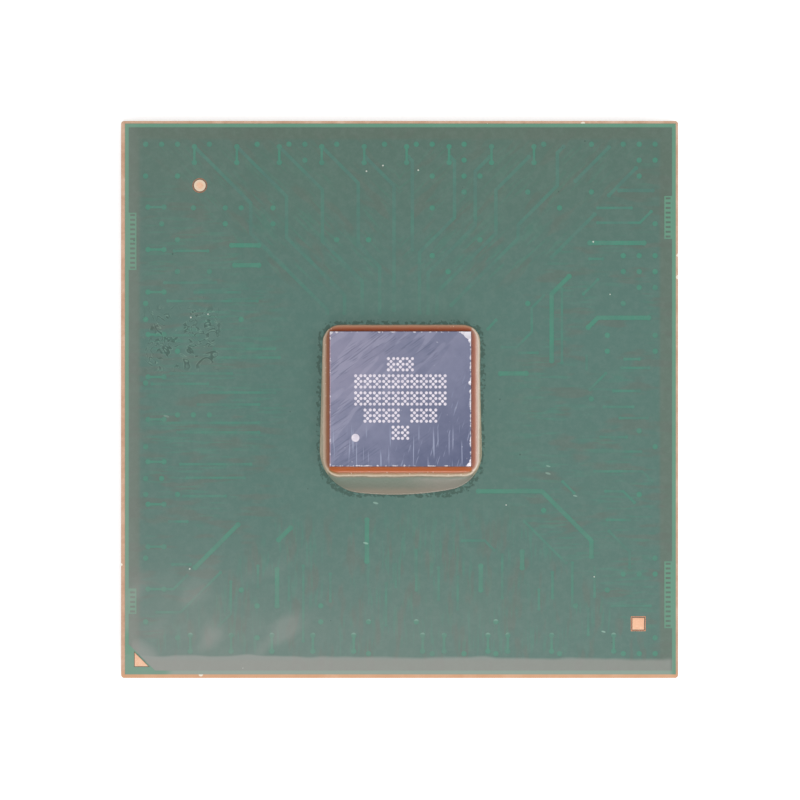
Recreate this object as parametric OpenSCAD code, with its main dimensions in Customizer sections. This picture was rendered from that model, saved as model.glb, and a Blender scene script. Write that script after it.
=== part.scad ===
// Flip-chip ball grid array package. A bare silicon die stands on solder bumps in a window of the
// solder mask, is glued down by a meniscus of underfill, and the board below it carries a full
// grid of solder balls. The origin is under the centre of the board, in the plane on which the
// balls stand. +Z goes up through the die, and pin 1 is at the corner -X, -Y.

/* [Board] */
// Side of the square board
board_w = 35; // [34.8:0.1:35.4]
// Thickness of the board, over both solder masks
board_t = 1.12; // [0.9:0.02:1.4]
// Radius of the board's corners
board_r = 0.2; // [0.1:0.05:0.3]
// Thickness of a solder mask where there is no copper under it
mask_t = 0.03; // [0.028:0.001:0.04]
// Thickness of the copper foil
copper_t = 0.015; // [0.01:0.001:0.016]
// How far the mask sags over a hole or a wide gap in the copper
mask_dip = 0.01; // [0.005:0.001:0.011]
// Bare laminate round the mask, on the mean of the four sides
bare_rim = 0.2; // [0.15:0.01:0.22]
// Shift of the mask and the copper against the sawn edge, in X
pattern_x = 0.05; // [0:0.01:0.06]
// Shift of the mask and the copper against the sawn edge, in Y
pattern_y = 0.03; // [0:0.01:0.06]
// Copper held back from the edge of the mask
copper_inset = 0.24; // [0.2:0.01:0.3]

/* [Ball grid] */
// Pitch of the solder balls
ball_pitch = 1; // [0.98:0.01:1]
// Balls along one side of the full grid
ball_count = 34; // [30:2:34]
// Height of a ball from the mask to the seating plane
ball_h = 0.5; // [0.4:0.02:0.56]
// Opening in the mask, and land, under a ball
land_d = 0.5; // [0.4:0.02:0.54]

/* [Die] */
// Die, along X
die_w = 8.83; // [8:0.01:9]
// Die, along Y
die_l = 8.42; // [8:0.01:9]
// Thickness of the die
die_t = 0.78; // [0.7:0.01:0.85]
// Gap between the bump pads and the die
bump_h = 0.07; // [0.06:0.01:0.1]
// Diameter of a bump
bump_d = 0.13; // [0.1:0.01:0.16]
// Pitch of the bumps
bump_pitch = 0.4; // [0.38:0.01:0.4]

/* [Underfill] */
// Width of the fillet beside the die
fillet_w = 0.5; // [0.4:0.02:0.6]
// Height that the fillet climbs on the die
fillet_h = 0.62; // [0.45:0.01:0.65]
// Thickness of the fillet's toe
toe_t = 0.04; // [0.036:0.001:0.06]
// Thickness of the film that ran out at the front
film_t = 0.03; // [0.02:0.001:0.034]
// Height of the bead along the edge of the film
bead_t = 0.05; // [0.04:0.001:0.06]

/* [Routing] */
// Width of the clearance lane round a track
lane_w = 0.16; // [0.14:0.01:0.2]
// Width of the lanes that fan out above the die
fan_w = 0.22; // [0.18:0.01:0.24]
// Width of the widest lanes
wide_w = 0.28; // [0.24:0.01:0.3]
// Width of a track
track_w = 0.05; // [0.04:0.005:0.06]
// Clearance hole round a via pad
via_hole_d = 0.34; // [0.3:0.01:0.38]
// Via pad
via_pad_d = 0.14; // [0.1:0.01:0.18]

/* [Marks on the board] */
// Diameter of the round fiducial, and side of the square one
fiducial_w = 0.73; // [0.6:0.01:0.8]
// Gap round a fiducial, up to the copper
fiducial_gap = 0.06; // [0.05:0.01:0.08]
// Legs of the triangle at pin 1
triangle_leg = 0.85; // [0.8:0.05:1]

/* [Hidden] */
$fn = 24;
eps = 0.01;

// Levels, from the seating plane up
z_bottom_mask = ball_h;
z_laminate = z_bottom_mask + mask_t;
z_copper = z_bottom_mask + board_t - mask_t;
z_pads = z_copper + copper_t;
z_mask = z_copper + mask_t;
z_die = z_pads + bump_h;
z_top = z_die + die_t;

// Plan sizes
pattern = [pattern_x, pattern_y, 0];
mask_w = board_w - 2 * bare_rim;
plane_w = mask_w - 2 * copper_inset;
plane_chamfer = 1.65;
half_plane = plane_w / 2;
window_w = die_w - 0.5;
window_l = die_l - 0.5;
bump_cols = floor((window_w - bump_d) / bump_pitch);
bump_rows = floor((window_l - bump_d) / bump_pitch);
bump_pad_d = bump_d + 0.05;
grid_half = (ball_count - 1) / 2 * ball_pitch;

// ---------------------------------------------------------------- shared forms

// A rectangle with round corners, centred on the origin
module round_rect(w, l, r) {
    square([w - 2 * r, l], center = true);
    square([w, l - 2 * r], center = true);
    for (x = [-1, 1], y = [-1, 1])
        translate([x * (w / 2 - r), y * (l / 2 - r)]) circle(r);
}

// Every place of the ball grid
module ball_grid() {
    for (i = [0:ball_count - 1], j = [0:ball_count - 1])
        translate([i * ball_pitch - grid_half, j * ball_pitch - grid_half, 0]) children();
}

// Every place of the bump grid, under the die
module bump_grid() {
    translate(pattern)
        for (i = [0:bump_cols - 1], j = [0:bump_rows - 1])
            translate([(i - (bump_cols - 1) / 2) * bump_pitch, (j - (bump_rows - 1) / 2) * bump_pitch, 0])
                children();
}

// ---------------------------------------------------------------- routing on the top side

function unit(v) = v / norm(v);
function left_of(v) = [-v[1], v[0]];

// Direction in which corner i of a path moves to widen it: the mitre of its two sides
function mitre(path, i) =
    let (last = len(path) - 1,
         a = left_of(unit(path[max(i, 1)] - path[max(i, 1) - 1])),
         b = left_of(unit(path[min(i, last - 1) + 1] - path[min(i, last - 1)])))
    (a + b) / (1 + a * b);

// Outline of a band of width w along a path
function band(path, w) = concat(
    [for (i = [0:len(path) - 1]) path[i] + mitre(path, i) * w / 2],
    [for (i = [len(path) - 1:-1:0]) path[i] - mitre(path, i) * w / 2]);

// Via pairs stand along the edges. Each is two vias, joined outwards.
pair_pitch = 8 / 3;
pair_inner = 14.85;
pair_outer = 15.85;
top_pairs = [for (k = [0:8]) -12.94 + pair_pitch * k];
left_pairs = [for (k = [0:9]) 12.05 - pair_pitch * k];
bottom_pairs = concat([for (k = [0:4]) -13.2 + (pair_pitch - 0.1) * k], [1.4, 2.75, 5.5, 6.75, 9.5, 13.4]);

// A fan-out lane above the die: out of its via pair at start_y, over 45 degrees into its column,
// down that column to the diagonal of its fan, and along it to the column that reaches the die.
// side is -1 for the left fan, whose diagonals run to the right, and 1 for the right fan.
function fan(side, via_x, start_y, column_x, diagonal, die_x) =
    [[via_x, start_y],
     [column_x, start_y - abs(via_x - column_x)],
     [column_x, diagonal + side * column_x],
     [die_x, diagonal + side * die_x],
     [die_x, 5.4]];

left_fan = [for (k = [0:3])
    fan(-1, top_pairs[k], pair_outer, -9.4 + 2.25 * k, 1 + 2 * k, -4.6 + 1.1 * k)];
right_fan = [for (k = [0:2])
    fan(1, 3.14 + (pair_pitch - 0.2) * k, 15.2, 3.4 + 1.3 * k, 8 - 1.8 * k, 1.2 + 0.55 * k)];
top_lanes = [
    [[-2.2, 15.2], [-0.4, 13.4], [-0.4, 5.6]],
    [[0.5, 15.2], [0.75, 14.95], [0.75, 9.4]],
    [[10.25, 15.85], [9.86, 15.46], [9.86, 13.4], [7.4, 10.94], [7.4, 10.1], [3.2, 5.9]],
    [[13.1, 15.8], [11, 13.7]],
    [[15.85, 13.1], [13.75, 13.1]],
    [[14.8, 14.5], [13.1, 12.8]],
    [[12.2, 11.6], [9.5, 8.9]]];

// Straight lanes that end on inner vias: [row, from column, to column] on the left and the right
left_rows = [
    [9.3, -14.2, -12.1], [7.3, -14.8, -11.6], [6.7, -12.9, -10.1], [6.15, -14.6, -9],
    [4, -15.4, -12.7], [3.15, -11.7, -7.9], [2.6, -11.5, -7.6], [1.6, -14.4, -10.6],
    [0.95, -15.6, -12.1], [0.4, -12.6, -7.9], [-0.35, -12.7, -8.9], [-1.5, -15.4, -8.9],
    [-2.1, -14, -8.9], [-4.1, -13.8, -9.4], [-4.95, -13.4, -9.8], [-6.1, -13.6, -11],
    [-7.7, -14.5, -13.4]];
right_rows = [
    [12, 12.4, 14.5], [8.8, 11.9, 12.7], [2.9, 7.5, 8.6], [2.5, 14.1, 15],
    [1.95, 13.9, 15.6], [0.5, 13.4, 15], [-0.5, 12.8, 14.6],
    [-1.2, 13.8, 15.5], [-2.4, 12.6, 14.2], [-3.3, 12.3, 15.1], [-7.6, 13, 14.4],
    [-13, 13.3, 15.7]];

// The same below the die: [column, from row, to row]
bottom_columns = [
    [-8.95, -10.5, -11.8], [-7, -11.2, -12.6], [-6.1, -10.5, -15.2], [-4.4, -11, -12.7],
    [-0.9, -11.6, -14.2], [-0.3, -10.4, -11.8], [1, -9.5, -12], [2.4, -10.6, -12.6],
    [3.6, -11.2, -13.2], [6.4, -9.8, -12.5], [8.7, -12, -13.2], [9.55, -10.9, -12.5],
    [10.8, -10.3, -13], [11.8, -13.2, -14.8], [12.2, -10.6, -12.4]];
straight_lanes = concat(
    [for (r = concat(left_rows, right_rows)) [[r[1], r[0]], [r[2], r[0]]]],
    [for (c = bottom_columns) [[c[0], c[1]], [c[0], c[2]]]]);

// Lanes that go their own way, each from its via towards the die
single_lanes = [
    [[15.75, 11.77], [15.05, 11.07], [12.4, 11.07]],
    [[12.4, 7.5], [11.5, 6.6]],
    [[10.15, 6.9], [10.15, 2.3]],
    [[9, 6.5], [8.25, 5.7], [8.25, 4.2], [7.3, 3.25], [6.4, 3.25]],
    [[5.5, 4.4], [6, 4.95]],
    [[11.7, 2.7], [11.7, 1.9]],
    [[12.9, 1.6], [11.9, 0.6]],
    [[12.2, -4.55], [15.2, -4.55], [15.8, -5.15]],
    [[12.9, -5.8], [14, -5.8], [14.7, -6.5]],
    [[10.2, -5.2], [10.9, -5.9]],
    [[13.1, -8.3], [14.4, -9.6], [14.4, -10.6]],
    [[7.8, -7.7], [10.4, -10.3]],
    [[3.9, -8.9], [5.3, -8.9], [5.9, -9.5]],
    [[-14.3, -10.4], [-13.2, -10.4]],
    [[-13.4, -11.1], [-14.25, -11.95], [-15.5, -11.95]],
    [[-11.3, -10.9], [-13.8, -13.4], [-15.3, -13.4]],
    [[-10.65, -11.5], [-10.65, -13.5], [-11.4, -14.25]]];

wide_lanes = [
    [[11.9, 9.8], [15.3, 9.8]],
    [[15.6, 5.1], [12.4, 5.1], [11.8, 4.5]],
    [[10.6, 7.7], [9.5, 6.6], [9.5, 2.4]],
    [[4.9, -5.8], [8.9, -5.8], [12, -8.9], [12, -9.9]],
    [[-8.9, 9.65], [-10.6, 9.65]],
    [[-8.9, 8.4], [-10.4, 8.4]],
    [[-10.2, -7.9], [-12.9, -10.6]],
    [[-6.9, -8.1], [-7.65, -8.85]],
    [[-2.1, -7.6], [-2.1, -10.2]],
    [[-7.75, -10.7], [-7.75, -13]],
    [[5.05, -10.5], [5.05, -12]],
    [[7.65, -9.6], [7.65, -10.6]],
    [[6.3, 1.6], [7.9, 1.6]]];

// All the lanes, as families of one width each: [paths, width]. The mask sags least in the first
// family and most in the last.
families = [
    [concat(left_fan, right_fan, top_lanes), fan_w],
    [concat(straight_lanes, single_lanes), lane_w],
    [wide_lanes, wide_w]];
lane_end = 0.06;
mask_sags = [0, 0.4, 0.7, 1];

// Single vias stand midway between four balls. Each row is [row, columns].
via_rows = [
    [16, [-16, -15, -14, -12, -9, -7, -6, -4, -1, 1, 2, 4, 9, 12, 14, 15, 16]],
    [15, [-6, 4, 15, 16]],
    [14, [-16, -14, 2, 4, 5, 15]],
    [13, [4, 8, 12]],
    [12, [-13, -11, -10, -8, 2, 10]],
    [11, [-15, -11, -8, 16]],
    [10, [-14, -4, -2, 5]],
    [9, [2, 14, 15, 16]],
    [8, [-14, -12, 3, 14, 15, 16]],
    [7, [15, 16]],
    [6, [-16, 8, 14]],
    [5, [-16, -10]],
    [4, [13, 16]],
    [3, [-14, 13, 16]],
    [1, [-16]],
    [0, [12]],
    [-1, [-14, -13, -12]],
    [-2, [15]],
    [-3, [-16, 16]],
    [-5, [-16, -15]],
    [-6, [-16, -14, 15]],
    [-7, [9]],
    [-10, [-16, 16]],
    [-11, [14, 15, 16]],
    [-12, [-10, 13]],
    [-13, [-9, -5, 11]],
    [-14, [-16, -5, -2, 1, 6]],
    [-15, [-14, -9, 16]],
    [-16, [-2, 2, 4, 6, 10, 14, 15, 16]]];

// A flat band of width w along each path
module bands(paths, w) {
    for (p = paths) polygon(band(p, w));
}

// Both ends of each path
module path_ends(paths) {
    for (p = paths, q = [p[0], p[len(p) - 1]]) translate(q) children();
}

// Every via pair: its child is placed at the inner via with +Y outwards, on its side of the board
module pairs() {
    for (x = top_pairs) translate([x, pair_inner]) children();
    for (x = bottom_pairs) translate([x, -pair_inner]) rotate(180) children();
    for (y = left_pairs) translate([-pair_inner, y]) rotate(90) children();
}

// Every single via
module single_vias() {
    for (row = via_rows, x = row[1]) translate([x, row[0]]) children();
}

// One via pair's clearance: two holes and the slot between them
module pair_clearance() {
    run = pair_outer - pair_inner;
    circle(d = via_hole_d);
    translate([0, run]) circle(d = via_hole_d);
    translate([-lane_w / 2, 0]) square([lane_w, run]);
}

// Outline of what is etched out of the copper plane: every hole, and the lanes of the families
// from number first on
module clearances(first = 0) {
    for (i = [first:1:len(families) - 1]) {
        bands(families[i][0], families[i][1]);
        path_ends(families[i][0]) circle(d = families[i][1] + lane_end);
    }
    pairs() pair_clearance();
    single_vias() circle(d = via_hole_d);
}

// Outline of the foil left inside the clearances: tracks with a pad at each end, and via pads
module track_outline() {
    for (f = families) {
        bands(f[0], track_w);
        path_ends(f[0]) circle(d = track_w + lane_end);
    }
    single_vias() circle(d = via_pad_d);
}

// ---------------------------------------------------------------- marks on the board

round_fiducial_at = [-12.6, 13.41];
square_fiducial_at = [14.94, -14.12];
triangle_at = [-16.69, -16.79];
mark_reveal = 0.04;

// Plain bars along the board's edges, where a board has its code: [side, middle, length]
code_strips = [[-1, 9.9, 3.6], [-1, -12.7, 1.6], [1, 11.4, 2.7], [1, -12.3, 4.2]];
code_w = 0.48;
bar_pitch = 0.3;
bar_w = 0.12;
bar_l = 0.3;

// The area of each code strip, sunk into the copper's edge by code_w
module code_areas() {
    for (s = code_strips)
        translate([s[0] * (half_plane - code_w / 2 + eps / 2), s[1]])
            square([code_w + eps, s[2]], center = true);
}

module code_bars() {
    for (s = code_strips)
        for (k = [0:floor(s[2] / bar_pitch) - 1])
            translate([s[0] * (half_plane - code_w / 2), s[1] - s[2] / 2 + (k + 0.5) * bar_pitch])
                square([bar_l, bar_w], center = true);
}

module triangle(leg) {
    polygon([[0, 0], [leg, 0], [0, leg]]);
}

// The three bare marks, each grown by g on every side
module round_mark(g) {
    translate(round_fiducial_at) circle(d = fiducial_w + 2 * g);
}

module square_mark(g) {
    translate(square_fiducial_at) square(fiducial_w + 2 * g, center = true);
}

module triangle_mark(g) {
    translate(triangle_at - [g, g]) triangle(triangle_leg + (2 + sqrt(2)) * g);
}

// ---------------------------------------------------------------- the board

module laminate_board() {
    color([0.78, 0.66, 0.56])
        translate([0, 0, z_laminate])
            linear_extrude(z_copper - z_laminate) round_rect(board_w, board_w, board_r);
}

// Outline of the copper plane, with its chamfered corner at pin 1 and the clearances etched out
module plane_outline(first = 0) {
    difference() {
        square(plane_w, center = true);
        translate([-half_plane - eps, -half_plane - eps]) triangle(plane_chamfer + 2 * eps);
        clearances(first);
        code_areas();
        round_mark(fiducial_gap);
        square_mark(fiducial_gap);
        square([window_w, window_l], center = true);
    }
}

// Puts foil of its child's outline on the laminate
module foil() {
    translate(pattern + [0, 0, z_copper]) linear_extrude(copper_t) children();
}

module top_copper_plane() {
    color([0.72, 0.45, 0.3]) foil() plane_outline();
}

module signal_tracks() {
    color([0.8, 0.5, 0.34]) foil() track_outline();
}

module round_fiducial() {
    color([0.93, 0.72, 0.6]) foil() round_mark(0);
}

module square_fiducial() {
    color([0.93, 0.72, 0.6]) foil() square_mark(0);
}

module corner_triangle() {
    color([0.93, 0.72, 0.6]) foil() triangle_mark(0);
}

module edge_code_bars() {
    color([0.8, 0.5, 0.34]) foil() code_bars();
}

// Outline of the mask, with its windows for the three marks and for the die
module mask_outline() {
    difference() {
        square(mask_w, center = true);
        round_mark(fiducial_gap + mark_reveal);
        square_mark(fiducial_gap + mark_reveal);
        triangle_mark(mark_reveal);
        square([window_w, window_l], center = true);
    }
}

// The layer of the mask that lies over the copper and over the lanes of the families before
// number first, between two sags
module mask_step(first) {
    translate([0, 0, mask_t - mask_dip * mask_sags[first + 1]])
        linear_extrude(mask_dip * (mask_sags[first + 1] - mask_sags[first]))
            intersection() {
                mask_outline();
                union() {
                    plane_outline(first);
                    code_bars();
                }
            }
}

// The mask fills every clearance down to the laminate, lies proud over the copper, and sags where
// the copper is open, further in a wide gap than in a narrow one
module top_solder_mask() {
    color([0.28, 0.46, 0.4])
        translate(pattern + [0, 0, z_copper]) {
            linear_extrude(copper_t)
                difference() {
                    mask_outline();
                    plane_outline();
                    track_outline();
                    code_bars();
                }
            translate([0, 0, copper_t]) linear_extrude(mask_t - copper_t - mask_dip) mask_outline();
            for (first = [0:len(families) - 1]) mask_step(first);
        }
}

module bottom_solder_mask() {
    color([0.28, 0.46, 0.4])
        difference() {
            translate([-mask_w / 2, -mask_w / 2, z_bottom_mask]) cube([mask_w, mask_w, mask_t]);
            ball_grid() translate([0, 0, z_bottom_mask - eps]) cylinder(d = land_d, h = mask_t + 2 * eps);
        }
}

module ball_lands() {
    color([0.8, 0.5, 0.34])
        ball_grid() translate([0, 0, z_laminate - copper_t]) cylinder(d = land_d, h = copper_t);
}

// ---------------------------------------------------------------- solder

// A reflowed ball: a neck in the mask's opening, and below it a sphere cut off by the land, whose
// radius follows from the opening and the stand-off
module solder_ball() {
    neck = mask_t - copper_t;
    ball_r = (ball_h * ball_h + land_d * land_d / 4) / (2 * ball_h);
    rotate_extrude() {
        intersection() {
            translate([0, ball_r]) circle(ball_r);
            square([2 * ball_r, ball_h]);
        }
        translate([0, ball_h]) square([land_d / 2, neck]);
    }
}

module solder_balls() {
    color([0.74, 0.75, 0.77]) ball_grid() solder_ball();
}

module bump_pads() {
    color([0.8, 0.5, 0.34])
        translate([0, 0, z_copper]) bump_grid() cylinder(d = bump_pad_d, h = copper_t);
}

module solder_bumps() {
    color([0.74, 0.75, 0.77])
        translate([0, 0, z_pads]) bump_grid() cylinder(d = bump_d, h = bump_h);
}

// ---------------------------------------------------------------- die and underfill

// The fillet sits a little off the die's centre, towards the side where it was dispensed
fillet_shift = [0.075, -0.09, 0];

// Shallow flakes broken off along the die's top edges: [x, y, radius, depth], with x and y from
// the die's centre in half widths
die_flakes = [[1, 1, 0.5, 0.1], [0.9, 1, 0.2, 0.05], [1, 0.87, 0.17, 0.05], [1, -1, 0.27, 0.08],
    [1, -0.92, 0.11, 0.04], [1, 0.24, 0.16, 0.05], [1, 0.11, 0.11, 0.04], [1, -0.07, 0.07, 0.03],
    [1, -0.62, 0.09, 0.03], [-1, 1, 0.2, 0.06], [-0.9, 1, 0.1, 0.04], [-1, 0.9, 0.09, 0.04],
    [-0.3, 1, 0.08, 0.03]];

module die_block() {
    translate([-die_w / 2, -die_l / 2, z_die]) cube([die_w, die_l, die_t]);
}

// A shallow scoop of radius r and depth d below z = 0: a cap of a larger sphere
module flake(r, d) {
    flake_r = (r * r + d * d) / (2 * d);
    translate([0, 0, flake_r - d]) sphere(flake_r);
}

module silicon_die() {
    color([0.5, 0.52, 0.66])
        translate(pattern)
            difference() {
                die_block();
                for (f = die_flakes)
                    translate([f[0] * die_w / 2, f[1] * die_l / 2, z_top]) flake(f[2], f[3]);
            }
}

// Section of the fillet, from the die outwards: a square corner less the round of the meniscus,
// whose radius follows from the fillet's width and height
module fillet_section() {
    rise = fillet_h - toe_t;
    meniscus_r = (fillet_w * fillet_w + rise * rise) / (2 * rise);
    difference() {
        square([fillet_w, fillet_h]);
        translate([fillet_w, toe_t + meniscus_r]) circle(meniscus_r, $fn = 48);
    }
}

// One side's fillet, of length l, standing on the line x = 0
module fillet_side(l) {
    rotate([90, 0, 0]) translate([0, 0, -l / 2]) linear_extrude(l) fillet_section();
}

// The fillet all round a block of the die's size: four straight sides and four turned corners
module fillet_ring() {
    x = die_w / 2;
    y = die_l / 2;
    translate([-x, -y, 0]) cube([die_w, die_l, fillet_h]);
    translate([x, 0, 0]) fillet_side(die_l);
    rotate(180) translate([x, 0, 0]) fillet_side(die_l);
    rotate(90) translate([y, 0, 0]) fillet_side(die_w);
    rotate(-90) translate([y, 0, 0]) fillet_side(die_w);
    for (c = [[x, y, 0], [-x, y, 90], [-x, -y, 180], [x, -y, 270]])
        translate([c[0], c[1], 0]) rotate(c[2]) rotate_extrude(angle = 90) fillet_section();
}

// The thin film round the fillet, a little to the right of the die's centre
film_w = 10.2;
film_back_w = 9.86;
film_back = 4.66;
film_front = 6.02;
film_back_r = 0.8;
film_front_r = 2.38;
film_bow_r = 16.6;
film_shift = [0.03, 0, 0];

// Points on an arc round c, from angle a to angle b
function arc(c, r, a, b, steps) =
    [for (i = [0:steps]) c + r * [cos(a + (b - a) * i / steps), sin(a + (b - a) * i / steps)]];

// Outline of the film, held in by g: a plate that is widest near its front, with round corners.
// Its front is a shallow bow that runs into the front corners without a kink, where the resin ran
// out furthest.
module film_outline(g) {
    bow = [0, film_bow_r - film_front];
    front_x = film_w / 2 - film_front_r;
    front = [front_x, bow[1] - sqrt(pow(film_bow_r - film_front_r, 2) - front_x * front_x)];
    meet = atan2(front[1] - bow[1], front[0]);
    back = [film_back_w / 2 - film_back_r, film_back - film_back_r];
    right = concat(
        arc(bow, film_bow_r - g, -89, meet - 1.5, 5),
        arc(front, film_front_r - g, meet, 0, 14),
        arc(back, film_back_r - g, 0, 90, 8));
    left = [for (i = [len(right) - 1:-1:0]) [-right[i][0], right[i][1]]];
    polygon(concat(right, left));
}

module underfill() {
    bead_w = 0.1;
    color([0.72, 0.45, 0.26])
        translate(pattern)
            difference() {
                union() {
                    translate([-window_w / 2, -window_l / 2, z_copper])
                        cube([window_w, window_l, z_mask - z_copper]);
                    translate([0, 0, z_mask]) {
                        translate(fillet_shift) fillet_ring();
                        translate(film_shift) {
                            linear_extrude(film_t) film_outline(0);
                            linear_extrude(bead_t)
                                difference() {
                                    film_outline(0);
                                    film_outline(bead_w);
                                }
                        }
                    }
                }
                die_block();
                translate(-pattern) {
                    translate([0, 0, z_copper]) bump_grid() cylinder(d = bump_pad_d, h = copper_t);
                    translate([0, 0, z_pads]) bump_grid() cylinder(d = bump_d, h = bump_h);
                }
            }
}

// ---------------------------------------------------------------- assembly

solder_balls();
bottom_solder_mask();
ball_lands();
top_solder_mask();
top_copper_plane();
signal_tracks();
underfill();
solder_bumps();
bump_pads();
silicon_die();
laminate_board();
round_fiducial();
square_fiducial();
corner_triangle();
edge_code_bars();
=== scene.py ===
"""A flip-chip ball grid array package: a bare silicon die, glued by a fillet of amber resin to a
green laminate board, with a full grid of solder balls underneath."""
import math

import bmesh
import bpy
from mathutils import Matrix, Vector


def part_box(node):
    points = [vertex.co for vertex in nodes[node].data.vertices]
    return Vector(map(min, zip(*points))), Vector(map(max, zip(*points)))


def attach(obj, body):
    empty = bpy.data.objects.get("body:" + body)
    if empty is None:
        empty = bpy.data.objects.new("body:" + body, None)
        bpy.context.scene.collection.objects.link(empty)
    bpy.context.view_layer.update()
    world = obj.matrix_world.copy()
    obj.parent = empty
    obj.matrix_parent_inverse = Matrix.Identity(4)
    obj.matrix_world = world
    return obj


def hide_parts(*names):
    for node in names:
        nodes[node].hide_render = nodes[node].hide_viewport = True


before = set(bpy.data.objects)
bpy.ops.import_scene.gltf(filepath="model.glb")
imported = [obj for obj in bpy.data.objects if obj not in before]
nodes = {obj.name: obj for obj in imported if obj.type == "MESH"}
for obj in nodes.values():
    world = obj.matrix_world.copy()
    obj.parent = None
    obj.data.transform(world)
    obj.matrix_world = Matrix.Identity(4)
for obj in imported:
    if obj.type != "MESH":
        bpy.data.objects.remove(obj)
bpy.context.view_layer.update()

# ---------------------------------------------------------------- laminate board
# The board is one pressed sheet of glass cloth and resin. It was sawn out of a larger panel, so
# its four sides are bare, tan, and show the cloth's layers as faint lines.

MM = 0.001


def colour(r, g, b):
    """An sRGB colour, 0 to 255, as the linear values that a shader takes."""
    def linear(c):
        c = c / 255
        return c / 12.92 if c <= 0.04045 else ((c + 0.055) / 1.055) ** 2.4
    return (linear(r), linear(g), linear(b), 1.0)


def feed(tree, socket, value):
    """Links a socket to another, or sets its constant."""
    if isinstance(value, bpy.types.NodeSocket):
        tree.links.new(value, socket)
    else:
        socket.default_value = value


def put(tree, kind, *values, out=0, **settings):
    """Adds a shader node and returns one output. values fill its inputs in order, None skips one;
    a setting in small letters is the node's own, and one with a capital is an input."""
    made = tree.nodes.new("ShaderNode" + kind)
    for name, value in settings.items():
        if name[0].islower():
            setattr(made, name, value)
    for name, value in settings.items():
        if name[0].isupper():
            feed(tree, made.inputs[name.replace("_", " ")], value)
    for socket, value in zip(made.inputs, values):
        if value is not None:
            feed(tree, socket, value)
    return made.outputs[out]


def calc(tree, operation, *values, clamp=False):
    return put(tree, "Math", *values, operation=operation, use_clamp=clamp)


def times(tree, *values):
    return calc(tree, "MULTIPLY", *values)


def plus(tree, *values, clamp=False):
    return calc(tree, "ADD", *values, clamp=clamp)


def less(tree, *values):
    return calc(tree, "SUBTRACT", *values)


def step_up(tree, value, low, high):
    """0 below low, 1 above high, smooth between. With low above high it steps down."""
    return put(tree, "MapRange", value, low, high, 0.0, 1.0, interpolation_type="SMOOTHSTEP")


def over(tree, amount, under, upper):
    """upper laid over under by amount."""
    made = tree.nodes.new("ShaderNodeMix")
    made.data_type = "RGBA"
    for index, value in ((0, amount), (6, under), (7, upper)):
        feed(tree, made.inputs[index], value)
    return made.outputs[2]


def place(tree, turn=0.0, stretch=(1, 1, 1)):
    """Object coordinates in millimetres, turned about Z and then stretched."""
    coords = put(tree, "TexCoord", out=3)
    turned = put(tree, "Mapping", coords, Rotation=(0, 0, turn), Scale=(1000, 1000, 1000))
    if tuple(stretch) == (1, 1, 1):
        return turned
    return put(tree, "Mapping", turned, Scale=stretch)


def axes(tree, vector):
    made = tree.nodes.new("ShaderNodeSeparateXYZ")
    feed(tree, made.inputs[0], vector)
    return made.outputs


def cloud(tree, vector, scale, detail=2.0, rough=0.5, warp=0.0):
    """Soft noise between 0 and 1, in cells of about 1 / scale millimetres."""
    return put(tree, "TexNoise", Vector=vector, Scale=scale, Detail=detail, Roughness=rough,
               Distortion=warp)


def bands(tree, value, *stops):
    """A colour ramp: stops are (position, colour)."""
    made = tree.nodes.new("ShaderNodeValToRGB")
    feed(tree, made.inputs[0], value)
    ramp = made.color_ramp
    while len(ramp.elements) < len(stops):
        ramp.elements.new(0.5)
    for element, (position, shade) in zip(ramp.elements, stops):
        element.position = position
        element.color = shade
    return made.outputs[0]


def bump(tree, height, strength, distance_mm):
    return put(tree, "Bump", Strength=strength, Distance=distance_mm * MM, Height=height)


def group(name, inputs, outputs):
    """A shader node group with float or vector inputs (name, kind, default) and its outputs."""
    tree = bpy.data.node_groups.new(name, "ShaderNodeTree")
    for title, kind, default in inputs:
        made = tree.interface.new_socket(name=title, in_out="INPUT",
                                         socket_type="NodeSocket" + kind)
        if default is not None:
            made.default_value = default
    for title, kind in outputs:
        tree.interface.new_socket(name=title, in_out="OUTPUT", socket_type="NodeSocket" + kind)
    return tree, tree.nodes.new("NodeGroupInput").outputs, tree.nodes.new("NodeGroupOutput").inputs


def use(tree, effect, **values):
    """Places a node group in a material with its own values."""
    made = tree.nodes.new("ShaderNodeGroup")
    made.node_tree = effect
    for name, value in values.items():
        feed(tree, made.inputs[name.replace("_", " ")], value)
    return made.outputs[0]


def finish_of(name, **constants):
    """A new material and its Principled shader, with the constants set on the shader itself."""
    material = bpy.data.materials.new(name)
    material.use_nodes = True
    shader = material.node_tree.nodes["Principled BSDF"]
    for title, value in constants.items():
        shader.inputs[title.replace("_", " ")].default_value = value
    return material, material.node_tree, shader.inputs


def cover(node, material):
    """Gives a CAD node its material."""
    for held in nodes[node].material_slots:
        held.material = material


# Uneven tone, shared by most finishes: two sizes of soft blotch, as a factor about 0.5
uneven, given, result = group("uneven tone", [("Place", "Vector", None), ("Size", "Float", 2.0)],
                              [("Tone", "Float")])
broad = cloud(uneven, given["Place"], calc(uneven, "DIVIDE", 1.0, given["Size"]), 2.0)
narrow = cloud(uneven, given["Place"], calc(uneven, "DIVIDE", 6.0, given["Size"]), 3.0, 0.6)
feed(uneven, result["Tone"], plus(uneven, times(uneven, broad, 0.65), times(uneven, narrow, 0.35)))

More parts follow.
